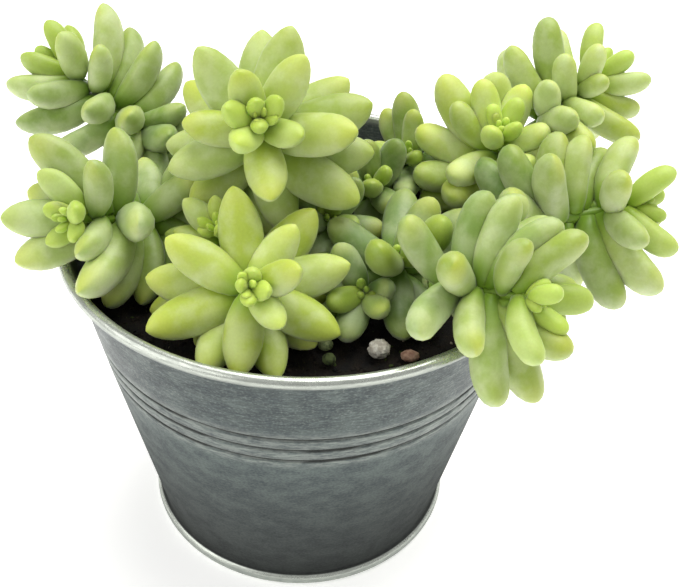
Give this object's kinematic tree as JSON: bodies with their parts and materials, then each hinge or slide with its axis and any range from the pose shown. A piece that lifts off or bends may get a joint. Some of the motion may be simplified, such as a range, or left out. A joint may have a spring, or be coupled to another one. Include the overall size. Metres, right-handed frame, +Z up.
{
  "type": "potted succulent",
  "caption": "Trailing stonecrop with plump waxy leaves on short shoots, growing in a tapered galvanised steel pot with a rolled rim and a grooved band.",
  "frame": {"origin": "centre of the overall footprint, on the surface the pot stands on", "axes": "+Z up along the pot's axis; -Y towards the viewer, where a low shoot leans over the front rim; +X to the viewer's right, where the longest shoots reach out over the rim"},
  "size_m": [0.1808, 0.13, 0.1512],
  "materials": {
    "galvanised": "hot-dip galvanised, mottled, satin",
    "soil": "dark loose potting soil, matte",
    "granule": "pale rough mineral grain, matte",
    "stem": "woody brown bark, matte",
    "leaf": "plump green leaf with a pale waxy bloom"
  },
  "bodies": {
    "root": {"pot_base": "galvanised", "pot_wall": "galvanised", "soil": "soil", "granule_brown": "granule", "granule_dark": "granule", "granule_grey": "granule", "granule_pale": "granule", "stem_back_inner": "stem", "stem_front": "stem", "stem_front_young": "stem", "stem_left_back": "stem", "stem_left_front": "stem", "stem_low_back": "stem", "stem_low_front": "stem", "stem_low_middle": "stem", "stem_low_right": "stem", "stem_middle_tall": "stem", "stem_right": "stem", "stem_right_back": "stem", "stem_right_front": "stem", "stem_right_inner": "stem", "leaves_back_inner": "leaf", "leaves_front": "leaf", "leaves_front_young": "leaf", "leaves_left_back": "leaf", "leaves_left_front": "leaf", "leaves_low_back": "leaf", "leaves_low_front": "leaf", "leaves_low_middle": "leaf", "leaves_low_right": "leaf", "leaves_middle_tall": "leaf", "leaves_right": "leaf", "leaves_right_back": "leaf", "leaves_right_front": "leaf", "leaves_right_inner": "leaf"}
  },
  "joints": []
}
